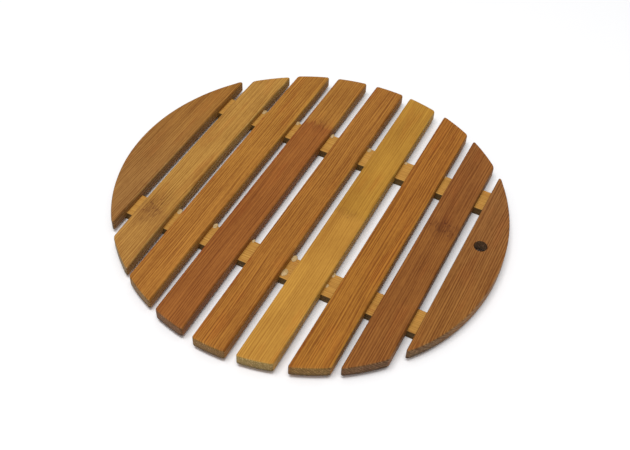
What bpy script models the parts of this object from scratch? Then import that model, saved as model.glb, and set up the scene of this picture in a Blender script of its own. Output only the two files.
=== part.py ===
"""A round slatted trivet of bamboo.

Nine parallel slats are sawn to a disc. Two battens cross their undersides, let into a shallow
notch in every slat and glued there, so that the slats stand clear of the table. One outer slat
has a hole near its rim, to hang the trivet by.

Units are metres and +Z is up. The slats run along Y and the battens along X. The origin is the
centre of the disc, on the surface that the trivet stands on.
"""
import math
from collections import namedtuple

import bmesh
import bpy

MM = 0.001

# Driving sizes
DISC_RADIUS = 90.0 * MM
SLAT_THICKNESS = 5.4 * MM
BATTEN_THICKNESS = 4.0 * MM
BATTEN_LENGTH = 148.0 * MM
NOTCH_DEPTH = 2.0 * MM
HOLE_DIAMETER = 6.0 * MM
HOLE_X, HOLE_Y = 77.0 * MM, 10.8 * MM

# How far sanding takes each edge back, and the room left for glue
TOP_ARRIS = 0.8 * MM
UNDER_ARRIS = 0.4 * MM
CORNER_ARRIS = 1.2 * MM
BATTEN_ARRIS = 0.3 * MM
GLUE_GAP = 0.3 * MM

# How finely the shapes are drawn
ARRIS_STEPS = 3
ARC_STEP = math.radians(3.5)
SHORTEST_ARC_STEPS = 6
HOLE_SIDES = 32
OVERSHOOT = 5.0 * MM
SAME_POINT = 0.01 * MM
FLAT_WITHIN = math.radians(0.5)
SHARP_BEYOND = math.radians(30)

# Heights that follow from the driving sizes
SLAT_BOTTOM = BATTEN_THICKNESS - NOTCH_DEPTH
SLAT_MIDDLE = SLAT_BOTTOM + SLAT_THICKNESS / 2
NOTCH_ROOF = BATTEN_THICKNESS + GLUE_GAP

# A strip's straight sides, the way it leans off the Y axis (a slope), and the circle that its
# ends are sawn to. The slats aren't quite alike: each end's circle has its own centre.
Slat = namedtuple("Slat", "name left right lean centre_x far_y near_y radius colour")
Batten = namedtuple("Batten", "name near far")

# Colours of the strips, as linear red, green and blue
PALE = (0.53, 0.27, 0.055)
GOLDEN = (0.46, 0.21, 0.055)
ORANGE = (0.42, 0.155, 0.030)
BROWN = (0.32, 0.125, 0.032)
DARK = (0.27, 0.085, 0.020)
BATTEN_COLOUR = (0.52, 0.27, 0.075)


def inner_slat(number, left, right, lean, far_trim, near_trim, colour):
    """A strip across the disc, its ends trimmed a little in from the disc's circle (sizes in mm)."""
    return Slat(f"slat_{number}", left * MM, right * MM, lean, 0.0,
                -far_trim * MM, near_trim * MM, DISC_RADIUS, colour)


def outer_slat(number, left, right, lean, centre_x, centre_y, radius, colour):
    """A segment of the disc, its rim one arc with its own centre (sizes in mm)."""
    left = centre_x - radius if left is None else left
    right = centre_x + radius if right is None else right
    return Slat(f"slat_{number}", left * MM, right * MM, lean, centre_x * MM,
                centre_y * MM, centre_y * MM, radius * MM, colour)


SLATS = (
    outer_slat(1, None, -69.4, 0.004, 0.8, 2.3, 90.7, BROWN),
    inner_slat(2, -65.0, -50.4, 0.000, 0.5, 2.5, GOLDEN),
    inner_slat(3, -46.7, -31.9, 0.000, 0.2, 2.4, ORANGE),
    inner_slat(4, -27.6, -12.8, 0.001, 0.5, 1.7, DARK),
    inner_slat(5, -7.5, 7.3, 0.000, 0.5, 1.0, ORANGE),
    inner_slat(6, 11.8, 26.6, -0.004, 0.4, 1.2, PALE),
    inner_slat(7, 32.1, 47.1, -0.002, 0.1, 0.9, ORANGE),
    inner_slat(8, 50.9, 65.8, 0.003, 0.3, 0.0, DARK),
    outer_slat(9, 69.9, None, 0.003, -8.5, -0.8, 97.3, BROWN),
)
BATTENS = (
    Batten("batten_far", 34.9 * MM, 47.5 * MM),
    Batten("batten_near", -43.4 * MM, -30.8 * MM),
)


def clear_scene():
    """Remove every object of the open file."""
    for thing in list(bpy.data.objects):
        bpy.data.objects.remove(thing, do_unlink=True)


def new_collection(name):
    """A collection linked to the scene."""
    collection = bpy.data.collections.new(name)
    bpy.context.scene.collection.children.link(collection)
    return collection


def bamboo(name, colour):
    """Bare, finely sanded bamboo."""
    material = bpy.data.materials.new(name)
    material.use_nodes = True
    shader = material.node_tree.nodes["Principled BSDF"]
    shader.inputs["Base Color"].default_value = (*colour, 1.0)
    shader.inputs["Roughness"].default_value = 0.55
    shader.inputs["Metallic"].default_value = 0.0
    return material


def add_object(name, data, collection):
    """Link new mesh or curve data as an object."""
    thing = bpy.data.objects.new(name, data)
    collection.objects.link(thing)
    return thing


def sawn_end(slat, centre_y, end):
    """Points along one curved end, from its right corner to its left corner; end is 1 or -1."""
    right = math.acos(min(1.0, (slat.right - slat.centre_x) / slat.radius))
    left = math.acos(max(-1.0, (slat.left - slat.centre_x) / slat.radius))
    steps = max(SHORTEST_ARC_STEPS, round((left - right) / ARC_STEP))
    points = []
    for step in range(steps + 1):
        angle = right + (left - right) * step / steps
        x = slat.centre_x + slat.radius * math.cos(angle)
        y = centre_y + end * slat.radius * math.sin(angle)
        points.append((x + slat.lean * y, y))
    return points


def slat_outline(slat):
    """The slat seen from above, anticlockwise, with no point twice."""
    loop = sawn_end(slat, slat.far_y, 1) + sawn_end(slat, slat.near_y, -1)[::-1]
    return [point for index, point in enumerate(loop) if math.dist(point, loop[index - 1]) > SAME_POINT]


def board(name, outline, thickness, middle, collection):
    """A flat board of the given outline, as a closed mesh at its place."""
    curve = bpy.data.curves.new(name, "CURVE")
    curve.dimensions = "2D"
    curve.fill_mode = "BOTH"
    curve.extrude = thickness / 2
    spline = curve.splines.new("POLY")
    spline.points.add(len(outline) - 1)
    for point, (x, y) in zip(spline.points, outline):
        point.co = (x, y, 0.0, 1.0)
    spline.use_cyclic_u = True
    drawn = add_object(name, curve, collection)
    drawn.location.z = middle
    bpy.context.view_layer.update()
    evaluated = drawn.evaluated_get(bpy.context.evaluated_depsgraph_get())
    mesh = bpy.data.meshes.new_from_object(evaluated)
    place = drawn.matrix_world.copy()
    bpy.data.objects.remove(drawn)
    bpy.data.curves.remove(curve)
    weld_and_flatten(mesh)
    solid = add_object(name, mesh, collection)
    solid.matrix_world = place
    return solid


def weld_and_flatten(mesh):
    """Join the caps to the walls and turn each cap's triangles into one face."""
    shape = bmesh.new()
    shape.from_mesh(mesh)
    bmesh.ops.remove_doubles(shape, verts=shape.verts, dist=SAME_POINT)
    bmesh.ops.dissolve_limit(shape, angle_limit=FLAT_WITHIN, verts=shape.verts, edges=shape.edges)
    bmesh.ops.recalc_face_normals(shape, faces=shape.faces)
    shape.to_mesh(mesh)
    shape.free()


def weigh_arrises(mesh):
    """Mark how far each arris is sanded, as a share of what the upright corners lose."""
    shape = bmesh.new()
    shape.from_mesh(mesh)
    weight = shape.edges.layers.float.new("bevel_weight_edge")
    for edge in shape.edges:
        if edge.calc_face_angle() > SHARP_BEYOND:
            ends_on_top = sum(vertex.co.z > 0.0 for vertex in edge.verts)
            edge[weight] = (UNDER_ARRIS, CORNER_ARRIS, TOP_ARRIS)[ends_on_top] / CORNER_ARRIS
    shape.to_mesh(mesh)
    shape.free()


def ease_edges(solid, width, limit_method):
    """Sand the arrises round, at every sharp turn (ANGLE) or as the edges are marked (WEIGHT)."""
    bevel = solid.modifiers.new("eased arrises", "BEVEL")
    bevel.width = width
    bevel.segments = ARRIS_STEPS
    bevel.limit_method = limit_method
    bevel.angle_limit = SHARP_BEYOND


def cut(solid, cutter, name):
    """Take the cutter's shape out of the solid."""
    boolean = solid.modifiers.new(name, "BOOLEAN")
    boolean.operation = "DIFFERENCE"
    boolean.solver = "EXACT"
    boolean.object = cutter


def hide_cutter(cutter):
    """Show a cutter as a wire frame and keep it out of the model."""
    cutter.hide_render = True
    cutter.display_type = "WIRE"
    return cutter


def box(name, low, high, collection):
    """A box between two corners."""
    mesh = bpy.data.meshes.new(name)
    shape = bmesh.new()
    bmesh.ops.create_cube(shape, size=1.0)
    for vertex in shape.verts:
        for axis in range(3):
            middle = (low[axis] + high[axis]) / 2
            vertex.co[axis] = middle + vertex.co[axis] * (high[axis] - low[axis])
    shape.to_mesh(mesh)
    shape.free()
    return add_object(name, mesh, collection)


def make_batten(batten, collection):
    """A straight strip under the slats."""
    end = BATTEN_LENGTH / 2
    strip = box(batten.name, (-end, batten.near, 0.0), (end, batten.far, BATTEN_THICKNESS), collection)
    ease_edges(strip, BATTEN_ARRIS, "ANGLE")
    strip.data.materials.append(bamboo(f"{batten.name} bamboo", BATTEN_COLOUR))
    return strip


def make_notch_cutter(batten, collection):
    """The batten's own shape with room for its glue, open at the foot."""
    end = BATTEN_LENGTH / 2 + GLUE_GAP
    low = (-end, batten.near - GLUE_GAP, -OVERSHOOT)
    high = (end, batten.far + GLUE_GAP, NOTCH_ROOF)
    return hide_cutter(box(f"notch for {batten.name}", low, high, collection))


def make_hole_cutter(collection):
    """The drill for the hanging hole."""
    mesh = bpy.data.meshes.new("hanging hole")
    shape = bmesh.new()
    radius = HOLE_DIAMETER / 2
    depth = SLAT_THICKNESS + 2 * OVERSHOOT
    bmesh.ops.create_cone(shape, cap_ends=True, segments=HOLE_SIDES, radius1=radius, radius2=radius, depth=depth)
    shape.to_mesh(mesh)
    shape.free()
    drill = add_object("hanging hole", mesh, collection)
    drill.location = (HOLE_X, HOLE_Y, SLAT_MIDDLE)
    return hide_cutter(drill)


def make_slat(slat, notch_cutters, collection):
    """A slat with eased arrises and its two notches."""
    strip = board(slat.name, slat_outline(slat), SLAT_THICKNESS, SLAT_MIDDLE, collection)
    weigh_arrises(strip.data)
    ease_edges(strip, CORNER_ARRIS, "WEIGHT")
    for cutter in notch_cutters:
        cut(strip, cutter, cutter.name)
    strip.data.materials.append(bamboo(f"{slat.name} bamboo", slat.colour))
    return strip


def main():
    """Build the trivet."""
    clear_scene()
    trivet = new_collection("bamboo trivet")
    cutters = new_collection("cutters")
    notch_cutters = [make_notch_cutter(batten, cutters) for batten in BATTENS]
    for batten in BATTENS:
        make_batten(batten, trivet)
    slats = [make_slat(slat, notch_cutters, trivet) for slat in SLATS]
    cut(slats[-1], make_hole_cutter(cutters), "hanging hole")


main()
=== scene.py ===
"""The looks of a round slatted bamboo trivet.

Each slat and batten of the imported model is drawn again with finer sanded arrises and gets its
bamboo: fibres along the strip, dotted end grain where it is sawn, and knuckles where the cane had
its joints. Beads of dried glue sit where the battens meet the slats. A white table, a softbox
overhead in an even white surround, and the camera complete the picture.

Units are metres and +Z is up. The slats run along Y, the battens along X, and the origin is the
centre of the disc on the table.
"""
import math
from collections import namedtuple

import bpy
from mathutils import Matrix, Vector


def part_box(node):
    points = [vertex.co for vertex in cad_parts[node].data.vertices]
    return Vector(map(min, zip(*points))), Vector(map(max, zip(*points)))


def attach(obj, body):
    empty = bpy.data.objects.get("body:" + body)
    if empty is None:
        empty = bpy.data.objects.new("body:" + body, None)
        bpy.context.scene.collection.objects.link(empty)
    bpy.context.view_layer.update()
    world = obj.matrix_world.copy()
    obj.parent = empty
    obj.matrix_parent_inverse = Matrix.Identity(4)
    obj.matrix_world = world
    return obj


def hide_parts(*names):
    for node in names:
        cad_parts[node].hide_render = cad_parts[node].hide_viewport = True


MM = 0.001
MM_PER_METRE = 1000.0
TINY = 1e-9

# The trivet's sizes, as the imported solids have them
DISC_RADIUS = 90.0 * MM
SLAT_BOTTOM = 2.0 * MM
SLAT_THICKNESS = 5.4 * MM
SLAT_MIDDLE = SLAT_BOTTOM + SLAT_THICKNESS / 2
BATTEN_TOP = 4.0 * MM
BATTEN_WIDTH = 12.6 * MM
BATTEN_LENGTH = 148.0 * MM
FAR_BATTEN_Y, NEAR_BATTEN_Y = 41.2 * MM, -37.1 * MM
HOLE_RADIUS = 3.0 * MM
HOLE_X, HOLE_Y = 77.0 * MM, 10.8 * MM
TOP_ARRIS = 0.9 * MM
UNDER_ARRIS = 0.4 * MM
CORNER_ARRIS = 1.2 * MM
BATTEN_ARRIS = 0.3 * MM
# The room that a notch leaves on each side of its batten
NOTCH_SLACK = 0.05 * MM

# An outer slat's tips are sanded to this width, and near them its arrises share what width is left
TIP_WIDTH = 1.0 * MM
RIM_BORDER = 1.7 * MM
TIP_SHARE = 0.45
# How quickly the sanding back of its near tip fades towards its middle
TIP_SANDING = 4.0

# How uneven sanding by hand leaves a face, and how long its waves are
WAVE_HEIGHT = 0.05 * MM
WAVE_LENGTH = 22.0 * MM

# The drill tore splinters out of the near half of its hole's rim. They begin at this share of the hole's
# radius towards -Y, and between these shares of the slat's thickness above its middle.
SPLINTER_HEIGHT = 0.22 * MM
SPLINTER_LENGTH = 0.7 * MM
SPLINTER_SEED = 3.0
TORN_FROM = 0.2
TORN_UP = (0.4, 0.5)

# Faces of a board across its width, along it and through its thickness, and of the drill
FACE_COUNTS = ("Faces Across", "Faces Along", "Faces Up")
SLAT_FACES = (24, 110, 8)
BATTEN_FACES = (16, 80, 6)
DRILL_SIDES, DRILL_RINGS = 72, 24
DRILL_DEPTH = 4.0 * SLAT_THICKNESS
SHARP_BEYOND = math.radians(32)

# Bamboo's fibre bundles, in millimetres, and how far they lean as they go down through a strip
FIBRE_PITCH = 1.05
FIBRE_SLANT = 0.7

# Left and right side, lean off the Y axis (a slope) and crook (bow at the middle) of each slat, and the
# circle its ends or its rim are sawn to, in millimetres. rim is 0 for a strip between two straight sides. It
# is -1 or 1 for the segment at the disc's left or right, whose near tip is sanded back by near_y less far_y.
Plan = namedtuple("Plan", "left right lean crook centre_x far_y near_y radius rim")
PLANS = {
    "slat_1": Plan(-89.9, -69.4, 0.007, -1.00, 1.0, 2.3, 3.0, 90.7, -1),
    "slat_2": Plan(-65.1, -50.3, 0.000, -1.30, 0.0, -0.5, 2.5, 90.0, 0),
    "slat_3": Plan(-46.8, -32.0, 0.000, -0.30, 0.0, -0.2, 2.4, 90.0, 0),
    "slat_4": Plan(-27.7, -12.9, 0.001, -0.25, 0.0, -0.5, 1.7, 90.0, 0),
    "slat_5": Plan(-7.6, 7.2, 0.000, -0.20, 0.0, -0.5, 1.0, 90.0, 0),
    "slat_6": Plan(11.7, 26.6, -0.004, 0.00, 0.0, -0.4, 1.2, 90.0, 0),
    "slat_7": Plan(32.0, 47.1, -0.002, 0.00, 0.0, -0.1, 0.9, 90.0, 0),
    "slat_8": Plan(50.8, 65.7, 0.003, 0.00, 0.0, -0.3, 0.0, 90.0, 0),
    "slat_9": Plan(69.9, 88.8, 0.006, 0.00, -8.5, -0.9, 1.8, 97.3, 1),
}
DRILLED_SLAT = "slat_9"

# Linear colours of each slat's cane on the far and near side of its knuckle (or of its middle), how much its
# fibres stand out, how red its left edge is, and its knuckle, if it has one. A knuckle has a place, a width
# and a length, in millimetres, a darkness of its stain, and how far it bends the fibres, in millimetres.
Look = namedtuple("Look", "far near fibres rust knuckle")
Knuckle = namedtuple("Knuckle", "across along width length depth swirl")
LOOKS = {
    "slat_1": Look((0.264, 0.110, 0.018), (0.260, 0.119, 0.030), 0.80, 0.3, None),
    "slat_2": Look((0.354, 0.172, 0.033), (0.332, 0.156, 0.032), 0.80, 0.0,
                   Knuckle(-58.8, -37.5, 8.0, 16.0, 0.72, 0.5)),
    "slat_3": Look((0.316, 0.132, 0.019), (0.310, 0.121, 0.018), 0.95, 0.8, None),
    "slat_4": Look((0.307, 0.128, 0.020), (0.239, 0.078, 0.013), 0.75, 0.8,
                   Knuckle(-19.7, 48.0, 9.0, 9.0, 0.40, 2.4)),
    "slat_5": Look((0.289, 0.113, 0.017), (0.291, 0.110, 0.015), 0.95, 1.0, None),
    "slat_6": Look((0.367, 0.176, 0.022), (0.411, 0.195, 0.029), 0.44, 0.0,
                   Knuckle(18.5, 0.5, 9.0, 5.0, 0.35, 1.0)),
    "slat_7": Look((0.281, 0.101, 0.013), (0.287, 0.109, 0.013), 1.00, 0.5, None),
    "slat_8": Look((0.209, 0.073, 0.014), (0.211, 0.074, 0.013), 0.90, 0.6,
                   Knuckle(58.3, 12.5, 14.0, 8.5, 0.65, 2.0)),
    "slat_9": Look((0.211, 0.082, 0.020), (0.220, 0.084, 0.015), 1.00, 0.2, None),
}
BATTEN_LOOK = Look((0.455, 0.228, 0.046), (0.455, 0.228, 0.046), 0.45, 0.0, None)

# What the cane's colour is multiplied by between its fibres and along them, where it flushes, at a slat's red
# left edge, and in a knuckle
PALE_TINT = (1.30, 1.41, 1.54)
DARK_TINT = (0.64, 0.53, 0.43)
FLUSH_TINT = (1.02, 0.86, 0.80)
RUST_TINT = (0.85, 0.60, 0.50)
KNUCKLE_TINT = (0.45, 0.34, 0.38)
# And on a sawn end, at the bundles' cut tips there, as painted shade at its foot, on a slat's side walls,
# at the tips that show along an eased arris, as painted shade in the drilled hole, and as painted shade on
# a batten's sides
END_TINT = (0.60, 0.84, 1.65)
TIP_TINT = (1.05, 1.40, 3.00)
END_FOOT_SHADE_TINT = (0.25, 0.38, 0.75)
WALL_TINT = (1.03, 1.15, 1.35)
FRINGE_TINT = (1.08, 1.15, 1.50)
BORE_SHADE_TINT = (0.22, 0.20, 0.25)
BATTEN_SIDE_SHADE_TINT = (0.26, 0.29, 0.36)

# The marks in the cane are noise: how far one runs across, along and up before it changes, in millimetres,
# which of the strip's draws it is, and its detail and roughness
Mark = namedtuple("Mark", "across along up draw detail roughness", defaults=(2.0, 0.5))
WANDER = Mark(40.0, 60.0, 40.0, 0.0)
DRIFT = Mark(3.0, 80.0, 1.0, 1.0, 1.0)
VIGOUR = Mark(1.5, 40.0, 1.0, 2.0, 1.0)
STREAK = Mark(0.30, 40.0, 3.0, 3.0, 1.0)
BAND = Mark(2.2, 90.0, 1.0, 4.0, 1.0)
CLOUD = Mark(9.0, 26.0, 9.0, 5.0, 3.0)
RAGGED_EDGE = Mark(2.0, 7.0, 4.0, 6.0)
SWIRL = Mark(3.5, 3.5, 6.0, 7.0)
MOTTLE = Mark(0.9, 2.6, 2.0, 8.0, 3.0, 0.6)
FLUSH = Mark(5.0, 22.0, 5.0, 9.0)
FLECK = Mark(0.5, 2.4, 3.0, 10.0, 1.0)
RUST_PATCH = Mark(2.0, 6.0, 1.0, 11.0)
DRAWS_PER_STRIP = 10.0

# Pores in a knuckle and cut tips on a sawn end are scattered at about these spacings across, along and up, in
# millimetres
PORE_SPACING = (1.7, 2.1, 3.0)
TIP_SPACING = (0.7, 3.0, 0.7)

# How strongly each mark shows
WANDER_REACH = 2.0
DRIFT_TURNS = 2.6
VIGOUR_SHARE = 0.75
RIPPLE_DEPTH = 0.46
STREAK_DEPTH = 2.0
FLECK_DEPTH = 0.8
BAND_DEPTH = 0.5
CLOUD_DEPTH = 0.8
FLUSH_DEPTH = 0.6
PATCH_SHARE = 0.85
RAGGED_DEPTH = 0.9
MOTTLE_SHARE = 0.65

# How far the near colour gives way to the far one, in millimetres, at a knuckle and without one, and how
# ragged the turn is at a knuckle
KNUCKLE_TURN = 3.0
PLAIN_TURN = 60.0
RAGGED_TURN = 9.0

# Where each soft step starts and ends. The shares are of a mark's own range, and the slopes are 0 on a level
# face and 1 on an upright one.
HEART_SHARES = (0.15, 1.0)
MOTTLE_SHARES = (0.38, 0.62)
PORE_SHARES = (0.12, 0.26)
PORE_HEART_SHARES = (0.35, 0.8)
VIGOUR_SHARES = (0.30, 0.70)
FLUSH_SHARES = (0.50, 0.75)
PATCH_SHARES = (0.50, 0.62)
TIP_SHARES = (0.15, 0.50)
GLUE_SHARES = (0.35, 0.65)
ENDWISE_TURN = (0.20, 0.60)
END_SLOPES = (0.60, 0.95)
FRINGE_SLOPES = (0.15, 0.45)
WALL_SLOPES = (0.45, 0.90)
BATTEN_SIDE_SHADE_SLOPES = (0.3, 0.8)
# The same, in millimetres: from a slat's left side, above the table for the painted shade at an end's foot and
# in the hole, and from the hole's middle for the painted shade in the hole
RUST_REACH = (0.4, 2.2)
END_FOOT_SHADE_HEIGHTS = (2.0, 4.4)
BORE_SHADE_HEIGHTS = (6.6, 7.2)
BORE_SHADE_RADII = (3.1, 3.3)

# How rough the cane is, and how the fibres, pores and cut tips stand out of it
CANE_ROUGHNESS = 0.58
RIPPLE_SHINE = 0.05
CLOUD_SHINE = 0.10
RIPPLE_RELIEF = 0.3
STREAK_RELIEF = 1.2
PORE_RELIEF = 1.5
TIP_RELIEF = 0.6
RELIEF_HEIGHT = 0.04 * MM
RELIEF_STRENGTH = 0.6

# Light that each surface mirrors
CANE_SPECULAR = 0.12
GLUE_SPECULAR = 0.25
TABLE_SPECULAR = 0.1

# The colours and roughness of dried glue and of the table, and the seed and detail of their noise
GLUE_NOISE = (1.0, 3.0)
TABLE_NOISE = (0.0, 2.0)
GLUE_COLOURS = ((0.42, 0.28, 0.11), (0.52, 0.37, 0.19))
GLUE_ROUGHNESS = 0.40
GLUE_ROUGHER = 0.2
TABLE_COLOURS = ((0.86, 0.86, 0.87), (0.87, 0.87, 0.88))
TABLE_ROUGHNESS = 0.9

# Beads of dried glue: the batten, where along it and across it, in millimetres, and the bead's radius
Bead = namedtuple("Bead", "batten x y radius")
BEADS = (
    Bead("batten_far", -49.7, 46.3, 1.0),
    Bead("batten_far", -31.2, 47.0, 0.9),
    Bead("batten_far", -28.0, 46.6, 0.7),
    Bead("batten_far", -12.0, 46.9, 0.9),
    Bead("batten_far", 8.2, 46.4, 1.0),
    Bead("batten_far", 27.2, 46.6, 0.6),
    Bead("batten_far", 47.2, 46.8, 0.5),
    Bead("batten_near", -49.6, -31.4, 1.0),
    Bead("batten_near", -31.2, -31.2, 1.0),
    Bead("batten_near", -12.0, -31.0, 0.6),
    Bead("batten_near", 8.2, -31.4, 1.2),
    Bead("batten_near", 8.1, -40.2, 1.3),
    Bead("batten_near", 27.0, -31.5, 0.8),
    Bead("batten_near", 27.1, -38.0, 0.7),
)

# A bead's reach along the batten, across it and up, as shares of its radius, how round it is drawn, and how
# lumpy it dried
BEAD_SHAPE = (1.1, 1.6, 0.4)
BEAD_SUBDIVISIONS = 4
BEAD_SEED = 5.0
LUMP_HEIGHT = 0.45 * MM
LUMP_LENGTH = 1.1 * MM

# How wide the table is, in metres, and how far under the battens it lies, so that no two faces share a plane
TABLE_WIDTH = 6.0
TABLE_DROP = 0.02 * MM

# The light: an even surround, and a softbox overhead that is wide from left to right and short from front
# to back
SURROUND = 0.55
SOFTBOX_PLACE = (-0.02, -0.25, 1.2)
SOFTBOX_SIZE = (0.8, 0.4)
SOFTBOX_POWER = 11.5

# The camera, as the photograph was taken
CAMERA_PLACE = Vector((118.6, -251.3, 294.6)) * MM
CAMERA_TARGET = Vector((8.4, -12.5, 7.4)) * MM
CAMERA_ROLL = math.radians(2.84)
CAMERA_LENS = 50.75
CAMERA_NEAREST = 0.01
SENSOR_WIDTH = 36.0


def find(sockets, name):
    """The socket in use that has this name, or this number."""
    if isinstance(name, int):
        return sockets[name]
    return next(socket for socket in sockets if socket.enabled and socket.name == name)


class Socket:
    """An output in a node tree. Arithmetic on it adds Math nodes, and node() adds any other node."""

    def __init__(self, tree, output=None):
        self.tree = tree
        self.output = output

    def __getitem__(self, name):
        """Another output of the same node."""
        return Socket(self.tree, find(self.output.node.outputs, name))

    def node(self, kind, settings=None, inputs=None):
        """Add a node: first its settings, then a value or link for each input (a list links several)."""
        made = self.tree.nodes.new(kind)
        for name, value in (settings or {}).items():
            setattr(made, name, value)
        for name, values in (inputs or {}).items():
            target = find(made.inputs, name)
            for value in values if isinstance(values, list) else [values]:
                if isinstance(value, Socket):
                    self.tree.links.new(value.output, target)
                else:
                    target.default_value = value
        return Socket(self.tree, next((output for output in made.outputs if output.enabled), None))

    def math(self, operation, *operands):
        """A Math node on numbers or sockets."""
        return self.node("ShaderNodeMath", {"operation": operation}, dict(enumerate(operands)))

    def __add__(self, other):
        return self.math("ADD", self, other)

    __radd__ = __add__

    def __sub__(self, other):
        return self.math("SUBTRACT", self, other)

    def __rsub__(self, other):
        return self.math("SUBTRACT", other, self)

    def __mul__(self, other):
        return self.math("MULTIPLY", self, other)

    __rmul__ = __mul__

    def __truediv__(self, other):
        return self.math("DIVIDE", self, other)

    def __pow__(self, other):
        return self.math("POWER", self, other)

    def __gt__(self, other):
        return self.math("GREATER_THAN", self, other)

    def __lt__(self, other):
        return self.math("LESS_THAN", self, other)

    def __abs__(self):
        return self.math("ABSOLUTE", self)

    def least(self, other):
        """The smaller of two numbers."""
        return self.math("MINIMUM", self, other)

    def most(self, other):
        """The larger of two numbers."""
        return self.math("MAXIMUM", self, other)

    def root(self):
        """The square root, of nothing below zero."""
        return self.math("SQRT", self.most(0.0))

    def sine(self):
        """The sine of an angle."""
        return self.math("SINE", self)

    def partly(self, share):
        """1 where this is 1, and short of 1 by the share where it is 0."""
        return (1.0 - share) + self * share

    def rise(self, low, high):
        """0 at low, 1 at high and a smooth step between."""
        settings = {"interpolation_type": "SMOOTHSTEP"}
        return self.node("ShaderNodeMapRange", settings, {"Value": self, "From Min": low, "From Max": high})

    def noise(self, seed, detail=2.0, roughness=0.5):
        """Noise about one unit across, from 0 to 1, at this place."""
        inputs = {"Vector": self, "W": seed, "Scale": 1.0, "Detail": detail, "Roughness": roughness}
        return self.node("ShaderNodeTexNoise", {"noise_dimensions": "4D"}, inputs)

    def times(self, tint):
        """This colour multiplied by another."""
        return self.node("ShaderNodeVectorMath", {"operation": "MULTIPLY"}, {0: self, 1: tint})

    def mix(self, low, high):
        """The colour low where this is 0 and high where it is 1."""
        return self.node("ShaderNodeMix", {"data_type": "RGBA"}, {"Factor": self, "A": low, "B": high})


def xyz(x, y, z):
    """A vector made of three numbers, of which at least one varies."""
    varying = next(value for value in (x, y, z) if isinstance(value, Socket))
    return varying.node("ShaderNodeCombineXYZ", None, {"X": x, "Y": y, "Z": z})


def colour(rgb):
    """An opaque colour."""
    return (*rgb, 1.0)


# Boards, in Geometry Nodes

SOCKET_KINDS = {float: "NodeSocketFloat", int: "NodeSocketInt", bool: "NodeSocketBool"}


def new_tree(name, numbers, others=()):
    """A Geometry Nodes tree with named inputs; returns it with its inputs. others are (label, kind) pairs."""
    tree = bpy.data.node_groups.new(name, "GeometryNodeTree")
    for label, kind in others:
        tree.interface.new_socket(label, in_out="INPUT", socket_type=kind)
    for label, start in numbers.items():
        made = tree.interface.new_socket(label, in_out="INPUT", socket_type=SOCKET_KINDS[type(start)])
        made.default_value = start
    tree.interface.new_socket("Geometry", in_out="OUTPUT", socket_type="NodeSocketGeometry")
    return tree, Socket(tree).node("NodeGroupInput")


def end_tree(geometry):
    """Give the tree's result."""
    geometry.node("NodeGroupOutput", None, {"Geometry": geometry})


def finish_tree(geometry, material):
    """End a tree: real geometry, smooth faces with sharp turns kept, and one material."""
    shape = geometry.node("GeometryNodeRealizeInstances", None, {"Geometry": geometry})
    smooth = {"Geometry": shape, "Shade Smooth": True}
    shape = shape.node("GeometryNodeSetShadeSmooth", {"domain": "FACE"}, smooth)
    turn = shape.node("GeometryNodeInputMeshEdgeAngle")
    sharp = {"Geometry": shape, "Selection": turn > SHARP_BEYOND, "Shade Smooth": False}
    shape = shape.node("GeometryNodeSetShadeSmooth", {"domain": "EDGE"}, sharp)
    end_tree(shape.node("GeometryNodeSetMaterial", None, {"Geometry": shape, "Material": material}))


def placed(shape, position):
    """The shape with its points at new places."""
    return shape.node("GeometryNodeSetPosition", None, {"Geometry": shape, "Position": position})


def position_of(shape):
    """X, Y and Z of each point."""
    return shape.node("ShaderNodeSeparateXYZ", None, {"Vector": shape.node("GeometryNodeInputPosition")})


def pick(condition, yes, no, kind="FLOAT"):
    """yes where the condition holds, else no."""
    inputs = {"Switch": condition, "True": yes, "False": no}
    return condition.node("GeometryNodeSwitch", {"input_type": kind}, inputs)


def eased_board_tree():
    """A board along Y about the origin with its arrises sanded round.

    A cube of many small faces is crowded towards its edges, drawn in along the top and under
    arrises, and rounded at the four upright corners.
    """
    sizes = {"Half Width": 7.5 * MM, "Half Length": DISC_RADIUS, "Half Thickness": SLAT_THICKNESS / 2,
             "Top Arris": TOP_ARRIS, "Under Arris": UNDER_ARRIS, "Corner Arris": CORNER_ARRIS}
    tree, given = new_tree("eased board", {**sizes, **dict(zip(FACE_COUNTS, SLAT_FACES))})
    half = [given["Half Width"], given["Half Length"], given["Half Thickness"]]
    points = {"Vertices X": given["Faces Across"] + 1, "Vertices Y": given["Faces Along"] + 1,
              "Vertices Z": given["Faces Up"] + 1}
    cube = given.node("GeometryNodeMeshCube", None, {"Size": (2.0, 2.0, 2.0), **points})
    at = position_of(cube)
    x, y, z = ((at[axis] * (math.pi / 2)).sine() * size
               for axis, size in zip("XYZ", half))

    edge = (half[0] - abs(x)).least(half[1] - abs(y))
    reach = given["Under Arris"] + (z > 0.0) * (given["Top Arris"] - given["Under Arris"])
    out = (reach - edge).most(0.0)
    up = (abs(z) - half[2] + reach).most(0.0)
    drawn = 1.0 - out.most(up) / ((out * out + up * up).root() + TINY)
    new_edge = edge + out * drawn
    z = z - z.math("SIGN", z) * up * drawn
    x, y = (value * (size - new_edge) / (size - edge + TINY) for value, size in zip((x, y), half))

    corner = given["Corner Arris"]
    past_x, past_y = ((abs(value) - size + corner).most(0.0) for value, size in zip((x, y), half))
    drawn = 1.0 - past_x.most(past_y) / ((past_x * past_x + past_y * past_y).root() + TINY)
    x = x - x.math("SIGN", x) * past_x * drawn
    y = y - y.math("SIGN", y) * past_y * drawn
    end_tree(placed(cube, xyz(x, y, z)))
    return tree


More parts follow.
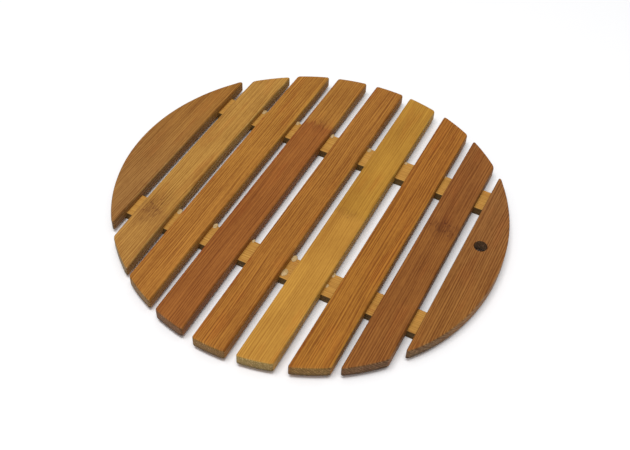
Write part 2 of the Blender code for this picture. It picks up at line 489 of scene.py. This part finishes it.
def sanded(shape, seed, height, length):
    """The shape with faces as uneven as hand sanding leaves them."""
    at = shape.node("GeometryNodeInputPosition")
    spot = at.node("ShaderNodeVectorMath", {"operation": "SCALE"}, {"Vector": at, "Scale": 1.0 / length})
    swell = (spot.noise(seed) - 0.5) * (2.0 * height)
    normal = shape.node("GeometryNodeInputNormal")
    offset = normal.node("ShaderNodeVectorMath", {"operation": "SCALE"}, {"Vector": normal, "Scale": swell})
    return shape.node("GeometryNodeSetPosition", None, {"Geometry": shape, "Offset": offset})


def joinery_tree():
    """Cut the battens' two notches and, where it is drilled, the hanging hole."""
    sizes = {"Far Batten Y": FAR_BATTEN_Y, "Near Batten Y": NEAR_BATTEN_Y,
             "Notch Width": BATTEN_WIDTH + 2 * NOTCH_SLACK, "Notch Length": BATTEN_LENGTH + 2 * NOTCH_SLACK,
             "Notch Roof": BATTEN_TOP + NOTCH_SLACK, "Hole X": HOLE_X, "Hole Y": HOLE_Y,
             "Hole Radius": HOLE_RADIUS, "Splinter Height": SPLINTER_HEIGHT, "Drilled": False}
    tree, given = new_tree("notches and hole", sizes, [("Geometry", "NodeSocketGeometry")])
    size = xyz(given["Notch Length"], given["Notch Width"], given["Notch Roof"] * 2.0)
    block = given.node("GeometryNodeMeshCube", None, {"Size": size})
    notches = []
    for y in ("Far Batten Y", "Near Batten Y"):
        inputs = {"Geometry": block, "Translation": xyz(0.0, given[y], 0.0)}
        notches.append(block.node("GeometryNodeTransform", None, inputs))

    drill = {"Vertices": DRILL_SIDES, "Side Segments": DRILL_RINGS, "Radius": given["Hole Radius"],
             "Depth": DRILL_DEPTH}
    bore = given.node("GeometryNodeMeshCylinder", None, drill)
    at = position_of(bore)
    near = (0.0 - at["Y"]).rise(TORN_FROM * HOLE_RADIUS, HOLE_RADIUS)
    torn = near * at["Z"].rise(*(share * SLAT_THICKNESS for share in TORN_UP))
    ragged = xyz(at["X"] / SPLINTER_LENGTH, at["Y"] / SPLINTER_LENGTH, at["Z"] / SLAT_THICKNESS)
    splinters = torn * ragged.noise(SPLINTER_SEED)
    wider = 1.0 + splinters * given["Splinter Height"] / given["Hole Radius"]
    bore = placed(bore, xyz(at["X"] * wider, at["Y"] * wider, at["Z"]))
    spot = xyz(given["Hole X"], given["Hole Y"], SLAT_MIDDLE)
    bore = bore.node("GeometryNodeTransform", None, {"Geometry": bore, "Translation": spot})

    solver = {"operation": "DIFFERENCE", "solver": "EXACT"}
    notched = given.node("GeometryNodeMeshBoolean", solver, {"Mesh 1": given["Geometry"], "Mesh 2": notches})
    drilled = notched.node("GeometryNodeMeshBoolean", solver, {"Mesh 1": notched, "Mesh 2": [bore]})
    end_tree(pick(given["Drilled"], drilled, notched, "GEOMETRY"))
    return tree


def slat_tree(board, joinery):
    """One slat: an eased board laid out between its two sides and sawn to the disc."""
    plan = {"Left": -7.5 * MM, "Right": 7.5 * MM, "Lean": 0.0, "Crook": 0.0, "Centre X": 0.0,
            "Far Centre Y": 0.0, "Near Centre Y": 0.0, "Radius": DISC_RADIUS, "Rim": 0.0,
            "Half Length": DISC_RADIUS, "Seed": 0.0, "Drilled": False}
    counts = dict(zip(FACE_COUNTS, SLAT_FACES))
    tree, given = new_tree("bamboo slat", {**plan, **counts}, [("Material", "NodeSocketMaterial")])
    half_width = (given["Right"] - given["Left"]) * 0.5
    half_length = given["Half Length"]
    sizes = {"Half Width": half_width, "Half Length": half_length, "Half Thickness": SLAT_THICKNESS / 2}
    sizes.update({name: given[name] for name in counts})
    shape = given.node("GeometryNodeGroup", {"node_tree": board}, sizes)
    at = position_of(shape)
    rim, radius, centre = given["Rim"], given["Radius"], given["Centre X"]

    # Across: one side of an outer slat follows the rim, and its arrises keep their width until the tips
    from_middle = at["Y"]
    rim_x = centre + rim * (radius * radius - from_middle * from_middle).root()
    left = pick(rim < 0.0, rim_x, given["Left"])
    right = pick(rim > 0.0, rim_x, given["Right"])
    width = right - left
    border = RIM_BORDER * (width * TIP_SHARE / RIM_BORDER).least(1.0)
    from_left, from_right = at["X"] + half_width, half_width - at["X"]
    share = (from_left - RIM_BORDER) / ((half_width - RIM_BORDER) * 2.0)
    x = left + border + share * (width - border * 2.0)
    x = pick(from_left < RIM_BORDER, left + from_left * border / RIM_BORDER, x)
    x = pick(from_right < RIM_BORDER, right - from_right * border / RIM_BORDER, x)

    # Along: an inner slat's ends follow the disc
    off_centre = x - centre
    sagitta = (radius * radius - off_centre * off_centre).root()
    far, near = given["Far Centre Y"] + sagitta, given["Near Centre Y"] - sagitta
    inner_y = (far + near) * 0.5 + at["Y"] * (far - near) / (half_length * 2.0)
    near_tip = (0.0 - from_middle / half_length).most(0.0) ** TIP_SANDING
    sanded_back = (given["Near Centre Y"] - given["Far Centre Y"]) * near_tip
    y = pick(abs(rim) > 0.0, given["Far Centre Y"] + from_middle + sanded_back, inner_y)

    # The crook bows the middle one way and the two ends the other, about the slat's mean line
    off_middle = y / DISC_RADIUS
    x = x + given["Lean"] * y + given["Crook"] * (0.5 - off_middle * off_middle * 1.5)
    shape = placed(shape, xyz(x, y, at["Z"] + SLAT_MIDDLE))
    shape = sanded(shape, given["Seed"], WAVE_HEIGHT, WAVE_LENGTH)
    inputs = {"Geometry": shape, "Drilled": given["Drilled"]}
    cut = shape.node("GeometryNodeGroup", {"node_tree": joinery}, inputs)
    finish_tree(cut, given["Material"])
    return tree


def batten_tree(board):
    """A batten: an eased board turned to lie along X."""
    sizes = {"Middle Y": 0.0, "Half Width": BATTEN_WIDTH / 2, "Half Length": BATTEN_LENGTH / 2}
    tree, given = new_tree("cross batten", sizes, [("Material", "NodeSocketMaterial")])
    inputs = {"Half Width": given["Half Width"], "Half Length": given["Half Length"],
              "Half Thickness": BATTEN_TOP / 2, "Top Arris": BATTEN_ARRIS, "Under Arris": BATTEN_ARRIS,
              "Corner Arris": BATTEN_ARRIS}
    inputs.update(zip(FACE_COUNTS, BATTEN_FACES))
    shape = given.node("GeometryNodeGroup", {"node_tree": board}, inputs)
    at = position_of(shape)
    shape = placed(shape, xyz(at["Y"], given["Middle Y"] - at["X"], at["Z"] + BATTEN_TOP / 2))
    finish_tree(shape, given["Material"])
    return tree


def bead_tree():
    """A squeezed-out bead of glue at every point it is given, as large as the point's radius says."""
    others = [("Geometry", "NodeSocketGeometry"), ("Material", "NodeSocketMaterial")]
    tree, given = new_tree("glue beads", {"Seed": 0.0}, others)
    ball = {"Radius": 1.0, "Subdivisions": BEAD_SUBDIVISIONS}
    ball = given.node("GeometryNodeMeshIcoSphere", None, ball)
    radius = given.node("GeometryNodeInputNamedAttribute", {"data_type": "FLOAT"}, {"Name": "radius"})
    size = xyz(*(radius * share for share in BEAD_SHAPE))
    inputs = {"Points": given["Geometry"], "Instance": ball, "Scale": size}
    beads = given.node("GeometryNodeInstanceOnPoints", None, inputs)
    beads = beads.node("GeometryNodeRealizeInstances", None, {"Geometry": beads})
    beads = sanded(beads, given["Seed"], LUMP_HEIGHT, LUMP_LENGTH)
    finish_tree(beads, given["Material"])
    return tree


def grow(name, tree, points=(), **inputs):
    """What a Geometry Nodes tree makes of its inputs (and points), as an object with a plain mesh."""
    start = bpy.data.meshes.new(name)
    start.from_pydata([point[:3] for point in points], [], [])
    if points:
        radii = start.attributes.new("radius", "FLOAT", "POINT")
        radii.data.foreach_set("value", [point[3] for point in points])
    thing = bpy.data.objects.new(name, start)
    bpy.context.scene.collection.objects.link(thing)
    modifier = thing.modifiers.new(tree.name, "NODES")
    modifier.node_group = tree
    for item in tree.interface.items_tree:
        if item.in_out == "INPUT" and item.name in inputs:
            modifier[item.identifier] = inputs[item.name]
    graph = bpy.context.evaluated_depsgraph_get()
    mesh = bpy.data.meshes.new_from_object(thing.evaluated_get(graph), depsgraph=graph)
    thing.modifiers.remove(modifier)
    thing.data = mesh
    return thing


# Materials


def new_material(name):
    """An empty material, as a start for its nodes."""
    material = bpy.data.materials.new(name)
    material.use_nodes = True
    material.node_tree.nodes.clear()
    return material, Socket(material.node_tree)


def surface(start, base, roughness, specular, normal=None):
    """Join what varies to the shader, and the shader to the surface."""
    inputs = {"Base Color": base, "Roughness": roughness, "Specular IOR Level": specular}
    if normal is not None:
        inputs["Normal"] = normal
    shader = start.node("ShaderNodeBsdfPrincipled", None, inputs)
    start.node("ShaderNodeOutputMaterial", None, {"Surface": shader})


# A place in the cane, in millimetres across and along its fibres and up from the table
Place = namedtuple("Place", "across along up")
# What a knuckle does to the cane, and how ragged its edges are
Marks = namedtuple("Marks", "swirl stain pores ragged")
NO_MARKS = Marks(0.0, 0.0, 0.0, 0.0)


def place_in_cane(start, turn):
    """Each point's place in the cane, once it is turned about Z so that its fibres run along."""
    inputs = {"Vector": start.node("ShaderNodeTexCoord")["Object"], "Rotation": (0.0, 0.0, turn),
              "Scale": (MM_PER_METRE,) * 3}
    at = start.node("ShaderNodeMapping", None, inputs)
    at = at.node("ShaderNodeSeparateXYZ", None, {"Vector": at})
    return Place(at["X"], at["Y"], at["Z"])


def draw(mark, at, seed):
    """The noise of one kind of mark at a place in the cane, from 0 to 1."""
    spot = xyz(at.across / mark.across, at.along / mark.along, at.up / mark.up)
    return spot.noise(seed + mark.draw, mark.detail, mark.roughness)


def scatter(spacing, at):
    """How far a place in the cane is from the nearest of many scattered points."""
    spot = xyz(*(value / step for value, step in zip(at, spacing)))
    return spot.node("ShaderNodeTexVoronoi", {"feature": "F1"}, {"Vector": spot, "Scale": 1.0})["Distance"]


def knuckle_marks(knuckle, at, seed):
    """At a knuckle the fibres swirl, and a stain with small pores spreads along them."""
    ragged = draw(RAGGED_EDGE, at, seed) - 0.5
    off_across = (at.across - knuckle.across) / knuckle.width
    off_along = (at.along - knuckle.along) / knuckle.length
    reach = (off_across * off_across + off_along * off_along).root() + ragged * RAGGED_DEPTH
    heart = 1.0 - reach.rise(*HEART_SHARES)
    swirl = (draw(SWIRL, at, seed) - 0.5) * heart * knuckle.swirl
    stain = heart * draw(MOTTLE, at, seed).rise(*MOTTLE_SHARES).partly(MOTTLE_SHARE) * knuckle.depth
    pores = 1.0 - scatter(PORE_SPACING, at).rise(*PORE_SHARES)
    return Marks(swirl, stain, pores * heart.rise(*PORE_HEART_SHARES) * knuckle.depth, ragged)


def fibre_marks(at, swirl, seed):
    """Fibre bundles: lines at an uneven pitch that strengthen and fade, and finer, shorter streaks."""
    wander = draw(WANDER, at, seed) - 0.5
    inside = at._replace(across=at.across + at.up * FIBRE_SLANT + wander * WANDER_REACH + swirl)
    level = inside._replace(up=0.0)
    drift = draw(DRIFT, level, seed)
    ripple = ((inside.across / FIBRE_PITCH + drift * DRIFT_TURNS) * math.tau).sine()
    vigour = draw(VIGOUR, level, seed).rise(*VIGOUR_SHARES)
    streak, fleck = draw(STREAK, inside, seed) - 0.5, draw(FLECK, inside, seed) - 0.5
    band = draw(BAND, level, seed) - 0.5
    lines = ripple * vigour.partly(VIGOUR_SHARE) * RIPPLE_DEPTH
    return lines + streak * STREAK_DEPTH + fleck * FLECK_DEPTH + band * BAND_DEPTH, ripple, streak


def cane_tone(look, at, marks, lines, cloud, left_side, seed):
    """The cane's colour: paler and yellower between the fibres, and darker and redder along them."""
    knuckle = look.knuckle
    middle, blend = (knuckle.along, KNUCKLE_TURN) if knuckle else (0.0, PLAIN_TURN)
    past = (at.along + marks.ragged * RAGGED_TURN).rise(middle - blend, middle + blend)
    tone = past.mix(colour(look.near), colour(look.far))
    dark = 0.5 - lines * look.fibres - cloud * CLOUD_DEPTH
    tone = tone.times(dark.mix(colour(PALE_TINT), colour(DARK_TINT)))
    flush = draw(FLUSH, at, seed).rise(*FLUSH_SHARES) * FLUSH_DEPTH
    tone = flush.mix(tone, tone.times(FLUSH_TINT))
    if left_side is not None:
        patch = draw(RUST_PATCH, at._replace(up=0.0), seed).rise(*PATCH_SHARES)
        edge = 1.0 - (at.across - left_side).rise(*RUST_REACH)
        tone = (edge * patch.partly(PATCH_SHARE) * look.rust).mix(tone, tone.times(RUST_TINT))
    if knuckle:
        tone = (marks.stain + marks.pores).mix(tone, tone.times(KNUCKLE_TINT))
    return tone


def sawn_tone(tone, at, upright, endwise, tips):
    """The colour on side walls, and on sawn ends, which are greyer, show the bundles' cut tips and get painted
    shade towards their foot.
    """
    end_tint_and_foot_shade = tips.mix(colour(END_TINT), colour(TIP_TINT))
    # Painted shade: a sawn end is darker towards its foot, where little light reaches under the slat
    end_tint_and_foot_shade = at.up.rise(*END_FOOT_SHADE_HEIGHTS).mix(colour(END_FOOT_SHADE_TINT), end_tint_and_foot_shade)
    fringe = tips * upright.rise(*FRINGE_SLOPES)
    tone = fringe.mix(tone, tone.times(FRINGE_TINT))
    wall = upright.rise(*WALL_SLOPES).mix(tone, tone.times(WALL_TINT))
    return endwise.mix(wall, tone.times(end_tint_and_foot_shade)), tone


def bamboo(name, look, seed, lean=0.0, left_side=None, paint_bore_shade=False):
    """Sanded, caramelised bamboo: a slat, its fibres along Y, or a batten without a left side, along X."""
    turned = left_side is None
    material, start = new_material(name)
    at = place_in_cane(start, math.radians(90) if turned else math.atan(lean))
    marks = knuckle_marks(look.knuckle, at, seed) if look.knuckle else NO_MARKS
    lines, ripple, streak = fibre_marks(at, marks.swirl, seed)
    cloud = draw(CLOUD, at, seed) - 0.5
    tone = cane_tone(look, at, marks, lines, cloud, left_side, seed)

    normal = start.node("ShaderNodeNewGeometry")["Normal"]
    facing = start.node("ShaderNodeSeparateXYZ", None, {"Vector": normal})
    upright = (facing["X"] * facing["X"] + facing["Y"] * facing["Y"]).root()
    endwise = abs(facing["X"] if turned else facing["Y"]) / (upright + TINY)
    endwise = endwise.rise(*ENDWISE_TURN) * upright.rise(*END_SLOPES)
    tips = 1.0 - scatter(TIP_SPACING, at).rise(*TIP_SHARES)
    base, tone = sawn_tone(tone, at, upright, endwise, tips)
    if turned:
        # Painted shade on a batten's front and back sides, which lie in shade under the slats
        side = abs(facing["Y"]).rise(*BATTEN_SIDE_SHADE_SLOPES)
        base = side.mix(base, tone.times(BATTEN_SIDE_SHADE_TINT))
    if paint_bore_shade:
        # Painted shade in the drilled hole: its wall is darkened below the rim, as the hole is dark inside
        off_x, off_y = at.across - HOLE_X / MM, at.along - HOLE_Y / MM
        inside_bore = 1.0 - (off_x * off_x + off_y * off_y).root().rise(*BORE_SHADE_RADII)
        base = (inside_bore * (1.0 - at.up.rise(*BORE_SHADE_HEIGHTS))).mix(base, tone.times(BORE_SHADE_TINT))

    relief = (ripple * RIPPLE_RELIEF + streak * STREAK_RELIEF) * (1.0 - endwise)
    relief = relief - marks.pores * PORE_RELIEF - tips * endwise * TIP_RELIEF
    bump = {"Height": relief, "Distance": RELIEF_HEIGHT, "Strength": RELIEF_STRENGTH}
    roughness = CANE_ROUGHNESS - ripple * RIPPLE_SHINE + cloud * CLOUD_SHINE
    surface(start, base, roughness, CANE_SPECULAR, start.node("ShaderNodeBump", None, bump))
    return material


def dried_glue():
    """Pale, slightly shiny dried wood glue."""
    material, start = new_material("dried_glue")
    inputs = {"Vector": start.node("ShaderNodeTexCoord")["Object"], "Scale": (MM_PER_METRE,) * 3}
    patch = start.node("ShaderNodeMapping", None, inputs).noise(*GLUE_NOISE)
    base = patch.rise(*GLUE_SHARES).mix(*map(colour, GLUE_COLOURS))
    surface(start, base, GLUE_ROUGHNESS + patch * GLUE_ROUGHER, GLUE_SPECULAR)
    return material


def white_table():
    """A matt white table top."""
    material, start = new_material("white_table")
    at = start.node("ShaderNodeTexCoord")["Object"]
    faint = at.noise(*TABLE_NOISE).mix(*map(colour, TABLE_COLOURS))
    surface(start, faint, TABLE_ROUGHNESS, TABLE_SPECULAR)
    return material


# Pieces


def ride_and_replace(piece, node):
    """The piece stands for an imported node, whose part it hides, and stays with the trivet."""
    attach(piece, "root")
    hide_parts(node)


def half_length_of(plan):
    """Half of a slat's length, to the middle of its ends or to an outer slat's sanded tips."""
    if plan.rim:
        chord = plan.right if plan.rim < 0 else plan.left
        tip = chord + plan.rim * TIP_WIDTH / MM
        return math.sqrt(plan.radius ** 2 - (tip - plan.centre_x) ** 2) * MM
    middle = (plan.left + plan.right) / 2 - plan.centre_x
    return (math.sqrt(plan.radius ** 2 - middle ** 2) + (plan.far_y - plan.near_y) / 2) * MM


def make_slat(tree, node, seed):
    """One slat of bamboo."""
    plan, drilled = PLANS[node], node == DRILLED_SLAT
    material = bamboo(f"bamboo_{node}", LOOKS[node], DRAWS_PER_STRIP * seed, plan.lean, plan.left, drilled)
    inputs = {"Left": plan.left * MM, "Right": plan.right * MM, "Lean": plan.lean,
              "Crook": plan.crook * MM, "Centre X": plan.centre_x * MM, "Far Centre Y": plan.far_y * MM,
              "Near Centre Y": plan.near_y * MM, "Radius": plan.radius * MM, "Rim": float(plan.rim),
              "Half Length": half_length_of(plan), "Seed": float(seed), "Drilled": drilled,
              "Material": material}
    return grow(f"bamboo_{node}", tree, **inputs)


def make_batten(tree, node, seed):
    """One batten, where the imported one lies."""
    low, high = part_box(node)
    inputs = {"Middle Y": (low.y + high.y) / 2, "Half Width": (high.y - low.y) / 2,
              "Half Length": (high.x - low.x) / 2,
              "Material": bamboo(f"bamboo_{node}", BATTEN_LOOK, DRAWS_PER_STRIP * seed)}
    return grow(f"bamboo_{node}", tree, **inputs)


def make_beads(tree, batten):
    """The dried glue along one batten."""
    points = [(bead.x * MM, bead.y * MM, BATTEN_TOP, bead.radius * MM)
              for bead in BEADS if bead.batten == batten]
    piece = grow(f"glue_on_{batten}", tree, points, Seed=BEAD_SEED, Material=dried_glue())
    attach(piece, "root")


def make_trivet():
    """All the pieces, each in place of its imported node."""
    board = eased_board_tree()
    slat = slat_tree(board, joinery_tree())
    batten = batten_tree(board)
    beads = bead_tree()
    for seed, node in enumerate(PLANS, 1):
        ride_and_replace(make_slat(slat, node, seed), node)
    for seed, node in enumerate(("batten_far", "batten_near"), len(PLANS) + 1):
        ride_and_replace(make_batten(batten, node, seed), node)
        make_beads(beads, node)


# Stage


def make_table():
    """A white surface under the trivet, out past every view."""
    bpy.ops.mesh.primitive_plane_add(size=TABLE_WIDTH, location=(0.0, 0.0, -TABLE_DROP))
    table = bpy.context.object
    table.name = "white_table"
    table.data.materials.append(white_table())


def make_light(name, place, size, power):
    """A soft rectangular light that faces the trivet."""
    data = bpy.data.lights.new(name, "AREA")
    data.shape = "RECTANGLE"
    data.size, data.size_y = size
    data.energy = power
    light = bpy.data.objects.new(name, data)
    light.location = place
    light.rotation_euler = (-Vector(place)).to_track_quat("-Z", "Y").to_euler()
    bpy.context.scene.collection.objects.link(light)


def make_world(strength):
    """An even white surround."""
    world = bpy.data.worlds.new("white surround")
    world.use_nodes = True
    background = world.node_tree.nodes["Background"]
    background.inputs["Color"].default_value = colour((1.0, 1.0, 1.0))
    background.inputs["Strength"].default_value = strength
    bpy.context.scene.world = world


def make_camera():
    """The camera at the photograph's place, with its slight roll."""
    data = bpy.data.cameras.new("camera")
    data.sensor_width = SENSOR_WIDTH
    data.lens = CAMERA_LENS
    data.clip_start = CAMERA_NEAREST
    camera = bpy.data.objects.new("camera", data)
    aim = (CAMERA_TARGET - CAMERA_PLACE).to_track_quat("-Z", "Y").to_matrix().to_4x4()
    camera.matrix_world = Matrix.Translation(CAMERA_PLACE) @ aim @ Matrix.Rotation(CAMERA_ROLL, 4, "Z")
    bpy.context.scene.collection.objects.link(camera)
    bpy.context.scene.camera = camera


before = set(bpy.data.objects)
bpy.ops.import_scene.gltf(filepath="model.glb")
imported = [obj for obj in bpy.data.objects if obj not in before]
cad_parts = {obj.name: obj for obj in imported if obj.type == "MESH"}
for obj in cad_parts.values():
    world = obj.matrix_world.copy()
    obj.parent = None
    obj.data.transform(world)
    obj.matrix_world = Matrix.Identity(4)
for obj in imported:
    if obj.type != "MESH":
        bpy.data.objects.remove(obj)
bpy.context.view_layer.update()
make_camera()
make_world(SURROUND)
make_light("softbox", SOFTBOX_PLACE, SOFTBOX_SIZE, SOFTBOX_POWER)
make_table()
make_trivet()
bpy.context.scene.view_settings.view_transform = "Standard"
